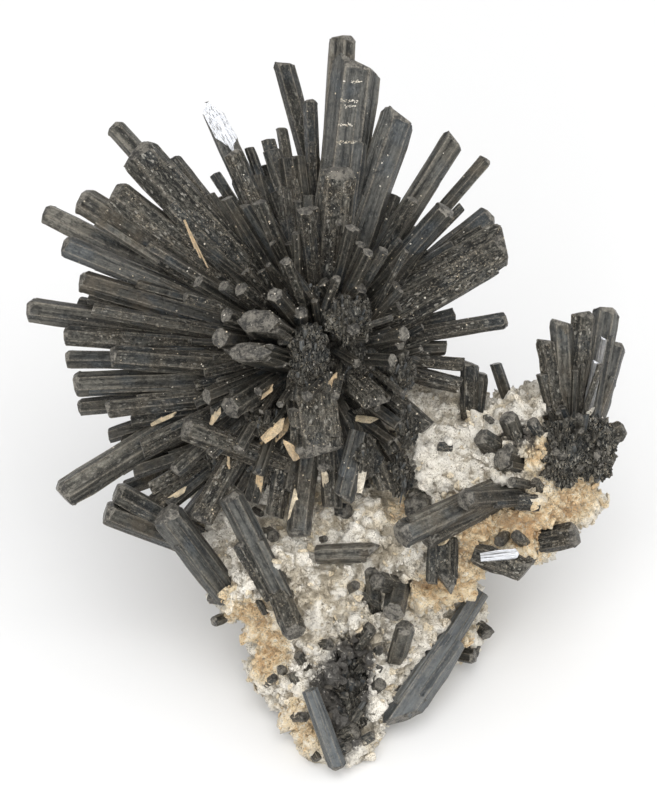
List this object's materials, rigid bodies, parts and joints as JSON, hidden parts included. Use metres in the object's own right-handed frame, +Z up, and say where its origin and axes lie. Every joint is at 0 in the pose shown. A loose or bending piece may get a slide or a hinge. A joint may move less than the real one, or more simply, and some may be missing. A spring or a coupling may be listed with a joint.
{
  "type": "stibnite specimen",
  "caption": "Mineral specimen: a radiating burst of dark prismatic crystals, a smaller side spray and loose crystals on pale crusty matrix with a level base.",
  "frame": {"origin": "point on the level resting face under the middle of the matrix", "axes": "+Z up, -Y towards the viewer of the crystal face, +X to the viewer's right"},
  "size_m": [0.0822, 0.0711, 0.0746],
  "materials": {
    "pale_crust": "rough granular crust, white to tan",
    "stibnite": "dark grey metallic lustre, striated lengthwise"
  },
  "bodies": {
    "root": {"matrix": "pale_crust", "main_spray": "stibnite", "side_spray": "stibnite", "lower_spray": "stibnite", "left_crystal": "stibnite", "left_pair": "stibnite", "striped_crystal": "stibnite", "front_blade": "stibnite", "stub_crystal": "stibnite", "leaf_crystal": "stibnite", "wedge_crystal": "stibnite", "bright_crystal": "stibnite", "edge_crystal": "stibnite", "standing_crystal": "stibnite", "middle_cluster": "stibnite", "lower_blade": "stibnite", "foot_crystal": "stibnite", "ridge_block": "stibnite", "ridge_stub": "stibnite", "right_cluster": "stibnite"}
  },
  "joints": []
}
